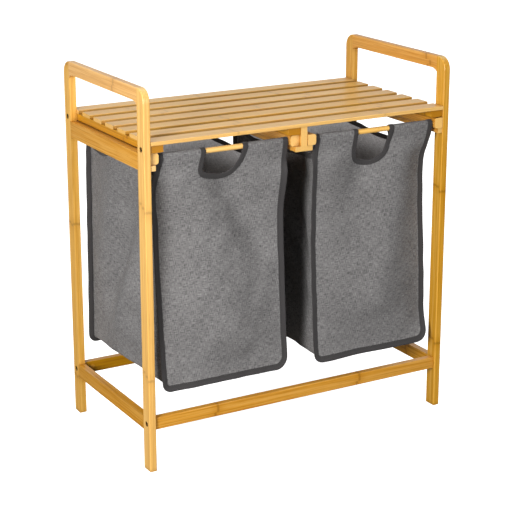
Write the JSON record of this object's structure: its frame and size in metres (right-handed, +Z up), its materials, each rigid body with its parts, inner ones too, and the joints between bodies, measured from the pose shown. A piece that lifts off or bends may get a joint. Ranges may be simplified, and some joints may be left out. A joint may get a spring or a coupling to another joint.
{
  "type": "laundry sorter",
  "caption": "Free-standing bamboo laundry sorter: slatted top shelf, side handle bars, and fabric bags hung on dowels between wooden bars that slide out to the front.",
  "frame": {"origin": "on the floor, at the middle of the stand's plan", "axes": "+Z up, -Y to the front where the bags pull out, +X to the right seen from the front"},
  "size_m": [0.64, 0.34, 0.7],
  "materials": {
    "bamboo": "satin lacquer",
    "fabric": "heather grey linen-look polyester",
    "binding": "dark bias tape",
    "steel": "zinc plated"
  },
  "bodies": {
    "frame": {"barrel_nuts": "steel", "frame_bolts": "steel", "handle_bar_left": "bamboo", "handle_bar_right": "bamboo", "lower_rail_back": "bamboo", "lower_rail_front": "bamboo", "lower_side_rail_left": "bamboo", "lower_side_rail_right": "bamboo", "post_back_left": "bamboo", "post_back_right": "bamboo", "post_front_left": "bamboo", "post_front_right": "bamboo", "runner_centre_foot": "bamboo", "runner_centre_web": "bamboo", "runner_ledge_left": "bamboo", "runner_ledge_right": "bamboo", "runner_screws": "steel", "shelf_batten_left": "bamboo", "shelf_batten_middle": "bamboo", "shelf_batten_right": "bamboo", "shelf_slat_1": "bamboo", "shelf_slat_2": "bamboo", "shelf_slat_3": "bamboo", "shelf_slat_4": "bamboo", "shelf_slat_5": "bamboo", "shelf_slat_6": "bamboo", "shelf_slat_7": "bamboo", "side_frame_pins": "bamboo", "slat_screws": "steel", "threaded_inserts": "steel", "upper_side_rail_left": "bamboo", "upper_side_rail_right": "bamboo"},
    "bag_left": {"bag_left_back_binding": "binding", "bag_left_back_dowel": "bamboo", "bag_left_back_panel": "fabric", "bag_left_bar_left": "bamboo", "bag_left_bar_right": "bamboo", "bag_left_bottom_panel": "fabric", "bag_left_cutout_binding": "binding", "bag_left_front_binding": "binding", "bag_left_front_dowel": "bamboo", "bag_left_front_panel": "fabric", "bag_left_side_panel_left": "fabric", "bag_left_side_panel_right": "fabric"},
    "bag_right": {"bag_right_back_binding": "binding", "bag_right_back_dowel": "bamboo", "bag_right_back_panel": "fabric", "bag_right_bar_left": "bamboo", "bag_right_bar_right": "bamboo", "bag_right_bottom_panel": "fabric", "bag_right_cutout_binding": "binding", "bag_right_front_binding": "binding", "bag_right_front_dowel": "bamboo", "bag_right_front_panel": "fabric", "bag_right_side_panel_left": "fabric", "bag_right_side_panel_right": "fabric"}
  },
  "joints": [
    {"name": "bag_left_slide", "type": "slide", "parent": "frame", "child": "bag_left", "axis": [0, -1, 0], "range_m": [0, 0.26]},
    {"name": "bag_right_slide", "type": "slide", "parent": "frame", "child": "bag_right", "axis": [0, -1, 0], "range_m": [-0.0075, 0.26]}
  ]
}
